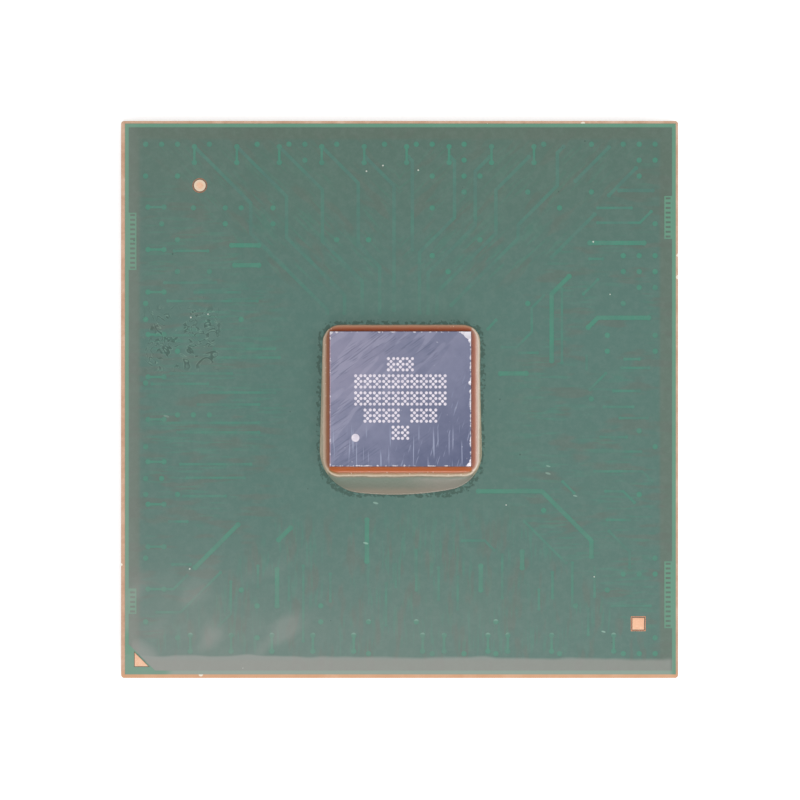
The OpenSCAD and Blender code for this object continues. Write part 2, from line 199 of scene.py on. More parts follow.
# Specks, shared: round grains of dust, one in a few cells, 1 on a grain and 0 elsewhere
specks, given, result = group(
    "specks", [("Place", "Vector", None), ("Cell", "Float", 1.0), ("Share", "Float", 0.1),
               ("Grain", "Float", 0.2)], [("Mask", "Float")])
cell = specks.nodes.new("ShaderNodeTexVoronoi")
feed(specks, cell.inputs["Vector"], given["Place"])
feed(specks, cell.inputs["Scale"], calc(specks, "DIVIDE", 1.0, given["Cell"]))
lottery = put(specks, "SeparateColor", cell.outputs["Color"])
drawn = calc(specks, "LESS_THAN", lottery, given["Share"])
grain = calc(specks, "LESS_THAN", cell.outputs["Distance"], given["Grain"])
feed(specks, result["Mask"], times(specks, drawn, grain))

# The board's top face shows as a pale rim, and as a dark ring in the gap round each bare mark
SEAM = 0.4
RIM_INNER = 17.0
board_low, board_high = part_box("laminate_board")
board_middle = (board_low.z + board_high.z) / 2 / MM
sawn, tree, shader = finish_of("sawn laminate", Roughness=0.62)
spot = place(tree)
x, y, z = axes(tree, spot)
tone = use(tree, uneven, Place=spot, Size=1.6)
fibre = cloud(tree, place(tree, stretch=(1.4, 1.4, 16)), 1.0, 3.0, 0.6)
tan = bands(tree, tone, (0.25, colour(186, 144, 118)), (0.5, colour(204, 166, 140)),
            (0.75, colour(220, 190, 168)))
layered = over(tree, times(tree, step_up(tree, fibre, 0.3, 0.7), 0.35), tan, colour(172, 126, 96))
from_middle = calc(tree, "ABSOLUTE", less(tree, z, board_middle))
outer_layers = times(tree, step_up(tree, from_middle, 0.39, 0.41),
                     step_up(tree, from_middle, 0.525, 0.515))
seam = step_up(tree, calc(tree, "ABSOLUTE", less(tree, from_middle, SEAM)), 0.02, 0.008)
layered = over(tree, times(tree, outer_layers, 0.35), layered, colour(176, 138, 92))
layered = over(tree, times(tree, seam, 0.6), layered, colour(150, 84, 56))
# Painted light: the board is drawn warmer and paler along its front edge, where the front lamp
# falls.
front = step_up(tree, y, -16.8, -17.45)
warm = over(tree, times(tree, front, 0.6), layered, colour(218, 160, 116))
nick = use(tree, specks, Place=spot, Cell=0.5, Share=0.05, Grain=0.3)
warm = over(tree, nick, warm, colour(236, 222, 204))
from_centre = calc(tree, "MAXIMUM", calc(tree, "ABSOLUTE", x), calc(tree, "ABSOLUTE", y))
# The ring in the gap is dark partly from painted shade in that recess and partly from the bare
# laminate's own colour.
in_a_gap = step_up(tree, from_centre, RIM_INNER + 0.05, RIM_INNER - 0.05)
feed(tree, shader["Base Color"], over(tree, in_a_gap, warm, colour(112, 98, 82)))
feed(tree, shader["Normal"], bump(tree, fibre, 0.35, 0.02))
cover("laminate_board", sawn)

# ---------------------------------------------------------------- copper
# Etched foil carries the signals on the top of the board, and lands on both sides carry the
# solder. The resist hides it all, apart from the rims of the windows round the marks.

copper, tree, shader = finish_of("etched copper", Metallic=0.9)
spot = place(tree)
tone = use(tree, uneven, Place=spot, Size=0.5)
feed(tree, shader["Base Color"], bands(tree, tone, (0.3, colour(140, 96, 76)),
                                       (0.55, colour(172, 120, 94)), (0.8, colour(194, 146, 118))))
feed(tree, shader["Roughness"], plus(tree, 0.25, times(tree, tone, 0.3)))
for node in ("top_copper_plane", "signal_tracks", "bump_pads", "ball_lands", "edge_code_bars"):
    cover(node, copper)

# ---------------------------------------------------------------- top solder resist
# A film of green epoxy over the whole top. It looks grey-green over copper and turns a clear
# teal in every gap of the foil, and it lies lower there. It turns paler towards the front and the
# left, and a pale band along its front edge and a patch at the corner of pin 1 are a painted
# reflection.

# Colours, then the depth of the sags and the places of the foil's pattern, the scraped patch,
# the corner of pin 1 and the resin's outline, in millimetres
COVERED = colour(77, 112, 103)
OVER_FAN = colour(72, 121, 107)
OVER_LANE = colour(67, 129, 111)
OVER_HOLE = colour(66, 133, 112)
BORDER = colour(95, 145, 121)
MARGIN = colour(92, 108, 96)
REDDISH = colour(93, 102, 94)
VEIL = colour(170, 166, 162)
SAG = 0.01
PATTERN_Y = 0.03
PAIR_ROW = 14.85
PATCH_X, PATCH_Y = -13.6, 3.8
PIN_CORNER = -17.3
RESIN_X, RESIN_Y = 0.08, 0.03
RESIN_HALF_W = 5.08
RESIN_BACK, RESIN_BACK_R = 4.72, 1.1
RESIN_FRONT, RESIN_FRONT_R = 6.0, 2.3
top_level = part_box("top_solder_mask")[1].z / MM


def length_of(tree, along_x, along_y):
    """The length of two distances together, where one below 0 counts as 0."""
    flat = put(tree, "CombineXYZ", calc(tree, "MAXIMUM", along_x, 0.0),
               calc(tree, "MAXIMUM", along_y, 0.0), 0.0)
    return put(tree, "VectorMath", flat, operation="LENGTH", out=1)


resist, tree, shader = finish_of("green resist", Specular_IOR_Level=0.35)
spot = place(tree)
x, y, z = axes(tree, spot)
width_off = calc(tree, "ABSOLUTE", x)
length_off = calc(tree, "ABSOLUTE", y)
from_centre = calc(tree, "MAXIMUM", width_off, length_off)
tone = use(tree, uneven, Place=spot, Size=5.0)

# The foil's pattern: the film sags further over a wide gap, and is clearer there
sag = calc(tree, "DIVIDE", less(tree, top_level, z), SAG)
fading = step_up(tree, cloud(tree, spot, 0.8, 2.0), 0.35, 0.65)
fan = over(tree, plus(tree, 0.2, times(tree, fading, 0.65)), COVERED, OVER_FAN)
lane = over(tree, plus(tree, 0.3, times(tree, fading, 0.55)), COVERED, OVER_LANE)
hole = over(tree, plus(tree, 0.6, times(tree, fading, 0.35)), COVERED, OVER_HOLE)
rim = step_up(tree, from_centre, 16.42, 16.5)
covered = over(tree, times(tree, step_up(tree, from_centre, 16.2, 16.5), 0.85), COVERED, MARGIN)

# Foil of the lower layers shows as reddish bars and fine teal streaks. They run along X beside
# the die, along Y before it, and along the diagonals behind it.
side_on = less(tree, width_off, length_off)
beside = step_up(tree, side_on, -0.4, 0.8)
far_out = step_up(tree, from_centre, 6.0, 9.0)
behind_die = calc(tree, "GREATER_THAN", y, 0.0)
mirrored = put(tree, "CombineXYZ", width_off, y, z)
diagonal = put(tree, "Mapping", mirrored, Rotation=(0, 0, -math.pi / 4))


def streaked(coarse, fine, low, high):
    """Streaks in each of the three directions, coarse across them and fine along them."""
    def mask(vector, stretch):
        pulled = put(tree, "Mapping", vector, Scale=stretch)
        return step_up(tree, cloud(tree, pulled, 1.0, 2.0, 0.45), low, high)
    ends = over(tree, behind_die, mask(spot, (coarse, fine, 1)), mask(diagonal, (fine, coarse, 1)))
    return over(tree, beside, ends, mask(spot, (fine, coarse, 1)))


bars = times(tree, streaked(1.6, 0.45, 0.52, 0.66), far_out)
covered = over(tree, times(tree, bars, 0.5), covered, REDDISH)
patchy = step_up(tree, cloud(tree, spot, 0.35, 2.0), 0.36, 0.6)
fine = times(tree, streaked(5.5, 0.6, 0.52, 0.64), patchy)
fine = times(tree, fine, times(tree, far_out, step_up(tree, from_centre, 16.4, 15.6)))
covered = over(tree, times(tree, fine, 0.42), covered, OVER_LANE)
warm_back = times(tree, step_up(tree, y, 4.0, 17.0), 0.5)
covered = over(tree, warm_back, covered, colour(82, 103, 90))
ground = over(tree, step_up(tree, sag, 0.1, 0.3), covered, fan)
ground = over(tree, step_up(tree, sag, 0.5, 0.6), ground, lane)
ground = over(tree, step_up(tree, sag, 0.8, 0.9), ground, over(tree, rim, hole, BORDER))
ground = over(tree, times(tree, step_up(tree, tone, 0.42, 0.7), 0.16), ground, colour(92, 120, 106))

# A faint haze in small patches, and a soft glint on the back half of the sunken vias in front
haze = step_up(tree, cloud(tree, spot, 2.2, 4.0, 0.7), 0.36, 0.72)
ground = over(tree, times(tree, haze, 0.13), ground, colour(126, 144, 136))
row_off = less(tree, y, PATTERN_Y)
pair_up = plus(tree, row_off, PAIR_ROW)
single_up = calc(tree, "WRAP", row_off, 0.5, -0.5)
via_up = over(tree, step_up(tree, row_off, -14.3, -14.4), single_up, pair_up)
via_back = times(tree, step_up(tree, via_up, 0.0, 0.16), step_up(tree, via_up, 0.3, 0.24))
via_back = times(tree, via_back, calc(tree, "GREATER_THAN", sag, 0.9))
via_back = times(tree, via_back, step_up(tree, y, -13.2, -13.6))
via_back = times(tree, via_back, step_up(tree, from_centre, 16.4, 16.3))
lit = step_up(tree, cloud(tree, spot, 1.3, 1.0), 0.36, 0.56)
ground = over(tree, times(tree, times(tree, via_back, lit), 0.3), ground, colour(176, 208, 192))

# A scraped patch on the left: dark curls with light glints beside them
patch_x = step_up(tree, calc(tree, "ABSOLUTE", less(tree, x, PATCH_X)), 2.7, 1.9)
patch_y = step_up(tree, calc(tree, "ABSOLUTE", less(tree, y, PATCH_Y)), 2.3, 1.5)
patch = times(tree, patch_x, patch_y)
curl = cloud(tree, spot, 0.75, 1.5, 0.5, 2.6)
ridge = calc(tree, "ABSOLUTE", less(tree, curl, 0.5))
broken = step_up(tree, cloud(tree, spot, 1.5, 1.0), 0.36, 0.46)
dark_curl = times(tree, times(tree, step_up(tree, ridge, 0.04, 0.015), broken), patch)
ground = over(tree, times(tree, dark_curl, 0.55), ground, colour(40, 68, 58))
beside_curl = calc(tree, "ABSOLUTE", less(tree, ridge, 0.055))
glint = times(tree, times(tree, step_up(tree, beside_curl, 0.012, 0.0), broken), patch)
ground = over(tree, times(tree, glint, 0.35), ground, colour(140, 176, 156))

# A pale veil, thicker towards the front and the left; its band along the front edge and its patch
# at the corner of pin 1 are a painted reflection
run = calc(tree, "DIVIDE", y, -14.6, clamp=True)
run = calc(tree, "POWER", run, 3.0)
lean = less(tree, 0.13, times(tree, x, 0.006))
left_side = times(tree, step_up(tree, x, -8.0, -13.0), 0.03)
left_edge = times(tree, step_up(tree, x, -16.0, -16.8), 0.1)
veil = plus(tree, times(tree, run, lean), plus(tree, left_side, left_edge))
veil = times(tree, veil, plus(tree, 0.7, times(tree, tone, 0.6)))
smear = step_up(tree, cloud(tree, place(tree, 0.7, (0.45, 0.25, 1)), 1.0, 1.0, 0.5), 0.48, 0.7)
smear = times(tree, smear, step_up(tree, y, -9.0, -13.5))
smear = times(tree, smear, step_up(tree, x, 2.0, -9.0))
veil = plus(tree, veil, times(tree, smear, 0.2))
pin_corner = (PIN_CORNER, PIN_CORNER, top_level)
to_corner = put(tree, "VectorMath", spot, pin_corner, operation="DISTANCE", out=1)
# Painted reflection: a pale patch at the corner of pin 1.
corner_reflection = times(tree, step_up(tree, to_corner, 3.4, 1.8), 0.5)
corner_reflection = times(tree, corner_reflection, step_up(tree, x, -17.2, -16.7))
# Painted reflection: a pale band with a wavy edge along the front.
wavy = times(tree, less(tree, cloud(tree, spot, 0.4, 1.0), 0.5), 0.5)
band_edge = plus(tree, plus(tree, y, wavy), times(tree, x, 0.008))
front_reflection_band = times(tree, step_up(tree, band_edge, -16.0, -16.3),
                   less(tree, 0.52, times(tree, x, 0.005)))
front_reflection_band = times(tree, front_reflection_band, step_up(tree, x, 17.3, 16.9))
veil = calc(tree, "MAXIMUM", calc(tree, "MAXIMUM", veil, corner_reflection), front_reflection_band)
clean = times(tree, step_up(tree, sag, 0.8, 0.9), step_up(tree, to_corner, 3.2, 2.4))
veil = times(tree, veil, less(tree, 1.0, times(tree, clean, 0.65)))
ground = over(tree, veil, ground, VEIL)


# Dark spatter of flux round the resin, whose outline is taken as a plate with round corners
def out_from_resin(side, far, radius):
    """The distance from the plate's edge, with side 1 for its back corners and -1 for the front."""
    flat = less(tree, calc(tree, "ABSOLUTE", less(tree, x, RESIN_X)), RESIN_HALF_W - radius)
    deep = less(tree, times(tree, less(tree, y, RESIN_Y), side), far - radius)
    return less(tree, length_of(tree, flat, deep), radius)


off_resin = calc(tree, "MAXIMUM", out_from_resin(1, RESIN_BACK, RESIN_BACK_R),
                 out_from_resin(-1, RESIN_FRONT, RESIN_FRONT_R))
near_resin = step_up(tree, off_resin, 0.34, 0.02)
flecks = cloud(tree, spot, 4.5, 3.0, 0.65)
dark = step_up(tree, plus(tree, flecks, times(tree, near_resin, 0.2)), 0.64, 0.7)
dark = times(tree, times(tree, dark, step_up(tree, near_resin, 0.0, 0.3)), 0.6)
ground = over(tree, dark, ground, colour(38, 66, 54))

# Pale specks, partly dust and partly painted glints, pale ticks towards the front as painted
# glints, and dark grit
dust = use(tree, specks, Place=spot, Cell=1.1, Share=0.12, Grain=0.05)
ground = over(tree, times(tree, dust, 0.75), ground, colour(212, 214, 204))
# Painted glints: pale ticks, more of them towards the front.
painted_glint_tick = use(tree, specks, Place=place(tree, 0.25, (0.5, 1.4, 1)), Cell=1.0, Share=0.1, Grain=0.09)
painted_glint_tick = times(tree, painted_glint_tick, step_up(tree, y, 8.0, -14.0))
ground = over(tree, times(tree, painted_glint_tick, 0.5), ground, colour(168, 204, 186))
grit = use(tree, specks, Place=place(tree, 0.7), Cell=0.8, Share=0.06, Grain=0.07)
ground = over(tree, times(tree, grit, 0.5), ground, colour(40, 66, 56))
feed(tree, shader["Base Color"], ground)
feed(tree, shader["Roughness"], plus(tree, 0.42, times(tree, tone, 0.16)))
feed(tree, shader["Normal"], bump(tree, cloud(tree, spot, 9.0, 3.0), 0.12, 0.02))
cover("top_solder_mask", resist)

# ---------------------------------------------------------------- bottom solder resist
# The same green film under the board, with a round opening at each ball. It has no foil plane
# behind it, so it keeps one even green.

under, tree, shader = finish_of("green resist, underside", Specular_IOR_Level=0.35)
spot = place(tree)
tone = use(tree, uneven, Place=spot, Size=3.0)
ground = bands(tree, tone, (0.3, colour(58, 96, 82)), (0.7, colour(72, 112, 96)))
dust = use(tree, specks, Place=spot, Cell=0.9, Share=0.05, Grain=0.06)
feed(tree, shader["Base Color"], over(tree, times(tree, dust, 0.6), ground, colour(190, 195, 184)))
feed(tree, shader["Roughness"], plus(tree, 0.36, times(tree, tone, 0.2)))
feed(tree, shader["Normal"], bump(tree, cloud(tree, spot, 9.0, 3.0), 0.12, 0.02))
cover("bottom_solder_mask", under)

# ---------------------------------------------------------------- bare marks
# A round and a square fiducial and the triangle of pin 1 are left open in the resist, for the
# cameras of the assembly line. Their copper has a pink preservative finish.

bare, tree, shader = finish_of("preserved copper", Metallic=0.15, Roughness=0.45)
spot = place(tree)
tone = use(tree, uneven, Place=spot, Size=0.6)
pink = bands(tree, tone, (0.25, colour(212, 152, 116)), (0.5, colour(230, 180, 146)),
             (0.75, colour(238, 206, 180)))
round_low, round_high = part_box("round_fiducial")
off_round = put(tree, "VectorMath", spot, tuple((round_low + round_high) / 2 / MM),
                operation="DISTANCE", out=1)
cream = times(tree, step_up(tree, off_round, 0.12, 0.28), step_up(tree, off_round, 0.5, 0.4))
pink = over(tree, times(tree, cream, 0.75), pink, colour(226, 208, 184))
feed(tree, shader["Base Color"], pink)
feed(tree, shader["Normal"], bump(tree, cloud(tree, spot, 30.0, 2.0), 0.3, 0.01))
for node in ("round_fiducial", "square_fiducial", "corner_triangle"):
    cover(node, bare)

# ---------------------------------------------------------------- solder balls and bumps
# Each ball was reflowed on its land, so it is a sphere cut off by the opening in the resist,
# with a neck. One is turned from its outline here, and repeated over the grid of the node.

BALLS_A_SIDE = 34
BALL_STEPS = 12
BALL_RINGS = 5
LAND_R = 0.25 * MM


def turned(name, outline, steps):
    """A closed mesh turned about Z from an outline of (radius, height) points."""
    shape = bmesh.new()
    rings = []
    for radius, height in outline:
        if radius < 1e-9:
            rings.append([shape.verts.new((0, 0, height))])
            continue
        rings.append([shape.verts.new((radius * math.cos(2 * math.pi * k / steps),
                                       radius * math.sin(2 * math.pi * k / steps), height))
                      for k in range(steps)])
    for low, high in zip(rings, rings[1:]):
        for k in range(steps):
            after = (k + 1) % steps
            corners = [low[k % len(low)], low[after % len(low)], high[after % len(high)],
                       high[k % len(high)]]
            shape.faces.new(list(dict.fromkeys(corners)))
    bmesh.ops.recalc_face_normals(shape, faces=shape.faces)
    mesh = bpy.data.meshes.new(name)
    shape.to_mesh(mesh)
    shape.free()
    for face in mesh.polygons:
        face.use_smooth = True
    return mesh


def shown(name, mesh):
    made = bpy.data.objects.new(name, mesh)
    bpy.context.collection.objects.link(made)
    return made


def geometry_tree(name, sizes):
    """A geometry node tree with a geometry in and out, and named sizes (name, kind)."""
    tree = bpy.data.node_groups.new(name, "GeometryNodeTree")
    for title, kind in [("Geometry", "Geometry")] + sizes:
        tree.interface.new_socket(name=title, in_out="INPUT", socket_type="NodeSocket" + kind)
    tree.interface.new_socket(name="Geometry", in_out="OUTPUT", socket_type="NodeSocketGeometry")
    return tree, tree.nodes.new("NodeGroupInput").outputs, tree.nodes.new("NodeGroupOutput").inputs


def geo(tree, kind, **settings):
    """Adds a geometry node, as put does for a shader node."""
    made = tree.nodes.new("GeometryNode" + kind)
    for name, value in settings.items():
        if name[0].islower():
            setattr(made, name, value)
    for name, value in settings.items():
        if name[0].isupper():
            feed(tree, made.inputs[name.replace("_", " ")], value)
    return made.outputs[0]


def settle(piece, tree, **sizes):
    """Runs a geometry tree on a piece with its sizes, and keeps the result as a plain mesh."""
    modifier = piece.modifiers.new("repeat", "NODES")
    modifier.node_group = tree
    for item in tree.interface.items_tree:
        if item.in_out == "INPUT" and item.name.replace(" ", "_") in sizes:
            modifier[item.identifier] = sizes[item.name.replace(" ", "_")]
    bpy.context.view_layer.update()
    ready = piece.evaluated_get(bpy.context.evaluated_depsgraph_get())
    mesh = bpy.data.meshes.new_from_object(ready)
    piece.modifiers.clear()
    piece.data = mesh
    mesh.name = piece.name


solder, tree, shader = finish_of("reflowed solder", Metallic=1.0)
spot = place(tree)
tone = use(tree, uneven, Place=spot, Size=0.8)
feed(tree, shader["Base Color"], bands(tree, tone, (0.25, colour(168, 170, 172)),
                                       (0.5, colour(196, 197, 199)), (0.8, colour(216, 216, 215))))
feed(tree, shader["Roughness"], plus(tree, 0.22, times(tree, tone, 0.3)))
feed(tree, shader["Normal"], bump(tree, cloud(tree, spot, 14.0, 2.0), 0.15, 0.02))
cover("solder_bumps", solder)

repeat, size, done = geometry_tree("ball grid", [("Side", "Float"), ("Count", "Int"),
                                                 ("Solder", "Material")])
grid = geo(repeat, "MeshGrid", Size_X=size["Side"], Size_Y=size["Side"],
           Vertices_X=size["Count"], Vertices_Y=size["Count"])
placed = geo(repeat, "InstanceOnPoints", Points=grid, Instance=size["Geometry"])
whole = geo(repeat, "RealizeInstances", Geometry=placed)
feed(repeat, done[0], geo(repeat, "SetMaterial", Geometry=whole, Material=size["Solder"]))

low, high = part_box("solder_balls")
ball_top = high.z
mask_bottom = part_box("bottom_solder_mask")[0].z
ball_r = (mask_bottom ** 2 + LAND_R ** 2) / (2 * mask_bottom)
lowest, highest = math.radians(-90), math.asin((mask_bottom - ball_r) / ball_r)
outline = []
for k in range(BALL_RINGS + 1):
    rise = lowest + (highest - lowest) * k / BALL_RINGS
    outline.append((ball_r * math.cos(rise), ball_r + ball_r * math.sin(rise)))
outline = outline + [(LAND_R, ball_top), (0, ball_top)]
balls = shown("solder_ball_grid", turned("solder_ball_grid", outline, BALL_STEPS))
grid_side = (high.x - low.x) - 2 * ball_r
settle(balls, repeat, Side=grid_side, Count=BALLS_A_SIDE, Solder=solder)
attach(balls, "root")
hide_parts("solder_balls")

# ---------------------------------------------------------------- silicon die
# The die is ground and polished on its back, then sawn. Handling has scratched the back, and
# left small chips along its edges, where the broken silicon shines.

die_low, die_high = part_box("silicon_die")
die_centre = (die_low + die_high) / 2
die_top = die_high.z / MM

# Scratches, shared: thin bright lines along X of the place they are given, broken up in length
scratches, given, result = group(
    "scratches", [("Place", "Vector", None), ("Fine", "Float", 6.0), ("Length", "Float", 0.25),
                  ("Few", "Float", 0.62)], [("Mask", "Float")])
pulled = put(scratches, "CombineXYZ", given["Length"], given["Fine"], 0.0)
lines = cloud(scratches, put(scratches, "VectorMath", given["Place"], pulled,
                             operation="MULTIPLY"), 1.0, 1.0, 0.5)
feed(scratches, result["Mask"],
     step_up(scratches, lines, given["Few"], plus(scratches, given["Few"], 0.05)))

silicon, tree, shader = finish_of("ground silicon", Metallic=0.6)
spot = place(tree)
x, y, z = axes(tree, spot)
right_of = less(tree, x, die_centre.x / MM)
behind = less(tree, y, die_centre.y / MM)
# Painted light: the polished back is drawn lighter towards the back left and darker towards the
# front right.
painted_light_fall = less(tree, times(tree, right_of, 0.05), times(tree, behind, 0.055))
blotch = use(tree, uneven, Place=spot, Size=3.0)
shade = plus(tree, plus(tree, 0.5, painted_light_fall), times(tree, less(tree, blotch, 0.5), 0.8), clamp=True)
ground = bands(tree, shade, (0.0, colour(138, 135, 156)), (0.45, colour(112, 115, 138)),
               (1.0, colour(74, 80, 106)))

# Soft strokes over the back left, fine hatching on the right, hairlines and scuffs at the front
sweep = use(tree, scratches, Place=place(tree, -0.8), Fine=1.7, Length=0.28, Few=0.5)
back_left = step_up(tree, less(tree, behind, right_of), -1.5, 2.0)
sweep = times(tree, sweep, back_left)
ground = over(tree, times(tree, sweep, 0.25), ground, colour(160, 158, 178))
hatch = use(tree, scratches, Place=place(tree, -0.6), Fine=11.0, Length=0.7, Few=0.55)
hatched = step_up(tree, cloud(tree, spot, 0.45, 1.0), 0.46, 0.6)
hatch = times(tree, hatch, hatched)
ground = over(tree, times(tree, hatch, 0.42), ground, colour(78, 84, 108))
upright = use(tree, scratches, Place=place(tree, math.pi / 2), Fine=6.5, Length=0.22, Few=0.63)
upright = times(tree, upright, step_up(tree, behind, -1.4, -2.6))
ground = over(tree, times(tree, upright, 0.5), ground, colour(158, 164, 186))
scuff = use(tree, scratches, Place=place(tree, 1.9), Fine=9.0, Length=0.9, Few=0.64)
scuffed = step_up(tree, less(tree, right_of, behind), 1.5, 4.5)
scuff = times(tree, scuff, scuffed)
ground = over(tree, times(tree, scuff, 0.4), ground, colour(150, 156, 178))

# Broken silicon: the flakes below the top face, and fine crumbs along the top's edges
edge_x = less(tree, (die_high.x - die_low.x) / 2 / MM, calc(tree, "ABSOLUTE", right_of))
edge_y = less(tree, (die_high.y - die_low.y) / 2 / MM, calc(tree, "ABSOLUTE", behind))
by_edge = step_up(tree, calc(tree, "MINIMUM", edge_x, edge_y), 0.16, 0.0)
right_edge = step_up(tree, right_of, 3.9, 4.3)
by_edge = times(tree, by_edge, plus(tree, 0.62, times(tree, right_edge, 0.38)))
crumbs = step_up(tree, plus(tree, cloud(tree, spot, 5.5, 3.0, 0.6), times(tree, by_edge, 0.3)),
                 0.72, 0.78)
left_line = times(tree, step_up(tree, edge_x, 0.08, 0.03), step_up(tree, right_of, 0.0, -1.0))
ground = over(tree, times(tree, left_line, 0.6), ground, colour(170, 138, 150))
sunk = times(tree, calc(tree, "LESS_THAN", z, die_top - 0.001),
             calc(tree, "GREATER_THAN", z, die_top - 0.12))
broken = calc(tree, "MAXIMUM", sunk, times(tree, crumbs, 0.8))
feed(tree, shader["Base Color"], over(tree, broken, ground, colour(228, 224, 232)))
feed(tree, shader["Roughness"], plus(tree, 0.34, times(tree, broken, 0.25)))
feed(tree, shader["Normal"], bump(tree, plus(tree, sweep, upright), 0.1, 0.003))
cover("silicon_die", silicon)

# ---------------------------------------------------------------- laser marks
# The back of the die is marked by laser in five short rows, and with a dot at pin 1. Each row is
# a line of plain chequered cells, three dots wide and five high.

CELL_ACROSS, CELL_UP = 3, 5
CELL_PITCH = 0.585 * MM
DOT_PITCH_X = 0.165 * MM
DOT_PITCH_Y = 0.175 * MM
DOT_D = 0.2 * MM
MARK_T = 0.002 * MM
ROW_PITCH = 1.07 * MM
TOP_ROW_Y = 2.17 * MM
ROWS = ("###", "##########", "##########", "#### ###", "##")
PIN_DOT_D = 0.5 * MM
PIN_DOT_X, PIN_DOT_Y = -2.81 * MM, -2.43 * MM

marked, tree, shader = finish_of("laser mark", Roughness=0.6)
tone = use(tree, uneven, Place=place(tree), Size=0.5)
feed(tree, shader["Base Color"], bands(tree, tone, (0.3, colour(206, 198, 212)),
                                       (0.7, colour(236, 228, 236))))

stamp, size, done = geometry_tree("dot cells", [
    ("Across", "Float"), ("Up", "Float"), ("Dot", "Float"), ("Depth", "Float"),
    ("Mark", "Material")])
lattice = geo(stamp, "MeshGrid", Size_X=times(stamp, size["Across"], CELL_ACROSS - 1),
              Size_Y=times(stamp, size["Up"], CELL_UP - 1), Vertices_X=CELL_ACROSS,
              Vertices_Y=CELL_UP)
odd = calc(stamp, "MODULO", geo(stamp, "InputIndex"), 2.0)
chequer = geo(stamp, "DeleteGeometry", Geometry=lattice, Selection=odd)
dot = geo(stamp, "MeshCylinder", Vertices=8, Radius=times(stamp, size["Dot"], 0.5),
          Depth=size["Depth"])
dots = geo(stamp, "InstanceOnPoints", Points=chequer, Instance=dot)
cells = geo(stamp, "InstanceOnPoints", Points=size["Geometry"], Instance=dots)
whole = geo(stamp, "RealizeInstances", Geometry=cells)
feed(stamp, done[0], geo(stamp, "SetMaterial", Geometry=whole, Material=size["Mark"]))

mark_z = die_high.z + MARK_T / 2
centres = []
for row, cells_in_row in enumerate(ROWS):
    for column, filled in enumerate(cells_in_row):
        if filled == "#":
            centres.append((die_centre.x + (column - (len(cells_in_row) - 1) / 2) * CELL_PITCH,
                            die_centre.y + TOP_ROW_Y - row * ROW_PITCH, mark_z))
mesh = bpy.data.meshes.new("laser_marks")
mesh.from_pydata(centres, [], [])
marks = shown("laser_marks", mesh)
settle(marks, stamp, Across=DOT_PITCH_X, Up=DOT_PITCH_Y, Dot=DOT_D, Depth=MARK_T, Mark=marked)
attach(marks, "root")

pin_r, pin_low, pin_high = PIN_DOT_D / 2, mark_z - MARK_T / 2, mark_z + MARK_T / 2
pin_dot = shown("laser_dot", turned("laser_dot", [(0, pin_low), (pin_r, pin_low),
                                                  (pin_r, pin_high), (0, pin_high)], 32))
for vertex in pin_dot.data.vertices:
    vertex.co += Vector((die_centre.x + PIN_DOT_X, die_centre.y + PIN_DOT_Y, 0))
for face in pin_dot.data.polygons:
    face.use_smooth = False
pin_dot.data.materials.append(marked)
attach(pin_dot, "root")

# ---------------------------------------------------------------- underfill
# Resin was dispensed along the front and drawn under the die. It fills the gap round the bumps,
# climbs the die's sides in a meniscus, and a thin film of it ran out at the front.

# In millimetres. The film's and the fillet's places are measured from the die's centre.
FILLET_H = 0.62
FULL_WIDTH = 0.36
FILLET_CURVE = 2.8
FILLET_WOBBLE, FILM_WOBBLE = 0.03, 0.01
TOE_T = 0.04
FILM_T, FILM_LEAST = 0.03, 0.05
BEAD_T, BEAD_W = 0.05, 0.12
FILLET_WIDE = {"right": 0.55, "back": 0.41, "left": 0.4, "front": 0.6}
FILLET_CORNER_R = 1.03
FILM_W, FILM_BACK_W = 10.2, 9.84
FILM_BACK, FILM_FRONT = 4.66, 6.02
FILM_BACK_R = 1.15
FILM_FRONT_R = {"right": 2.38, "left": 2.75}
FILM_BOW_R = 20.0
FILM_BOW_X = -0.48
FILM_SHIFT = 0.03
PROFILE_STEPS, SIDE_STEPS, CORNER_STEPS = 10, 40, 14
FARTHEST = 4.0

centre = die_centre / MM
half_x = (die_high.x - die_low.x) / 2 / MM
half_y = (die_high.y - die_low.y) / 2 / MM


def in_film(px, py):
    """Is a point, in millimetres from the die's centre, on the film?"""
    corner_r = FILM_FRONT_R["right" if px > FILM_SHIFT else "left"]
    bow_x = math.copysign(FILM_BOW_X, FILM_SHIFT - px)
    px = abs(px - FILM_SHIFT)
    bow_y = FILM_BOW_R - FILM_FRONT
    front_x = FILM_W / 2 - corner_r
    front_y = bow_y - math.sqrt((FILM_BOW_R - corner_r) ** 2 - (front_x - bow_x) ** 2)
    touch_x = bow_x + (front_x - bow_x) * FILM_BOW_R / (FILM_BOW_R - corner_r)
    back_x = FILM_BACK_W / 2 - FILM_BACK_R
    back_y = FILM_BACK - FILM_BACK_R
    if py < front_y:
        return math.hypot(px - bow_x, py - bow_y) < FILM_BOW_R and (
            px < touch_x or math.hypot(px - front_x, py - front_y) < corner_r)
    if py < back_y:
        share = (py - front_y) / (back_y - front_y)
        return px < (FILM_W + (FILM_BACK_W - FILM_W) * share) / 2
    return py < FILM_BACK and (px < back_x or math.hypot(px - back_x, py - back_y) < FILM_BACK_R)


def in_fillet(px, py):
    """Is a point on the fillet? Its outline has round corners, so it is narrow at the die's."""
    wide_x = half_x + (FILLET_WIDE["right"] if px > 0 else FILLET_WIDE["left"])
    wide_y = half_y + (FILLET_WIDE["back"] if py > 0 else FILLET_WIDE["front"])
    over_x = abs(px) - wide_x + FILLET_CORNER_R
    over_y = abs(py) - wide_y + FILLET_CORNER_R
    if over_x > 0 and over_y > 0:
        return math.hypot(over_x, over_y) < FILLET_CORNER_R
    return over_x < FILLET_CORNER_R and over_y < FILLET_CORNER_R


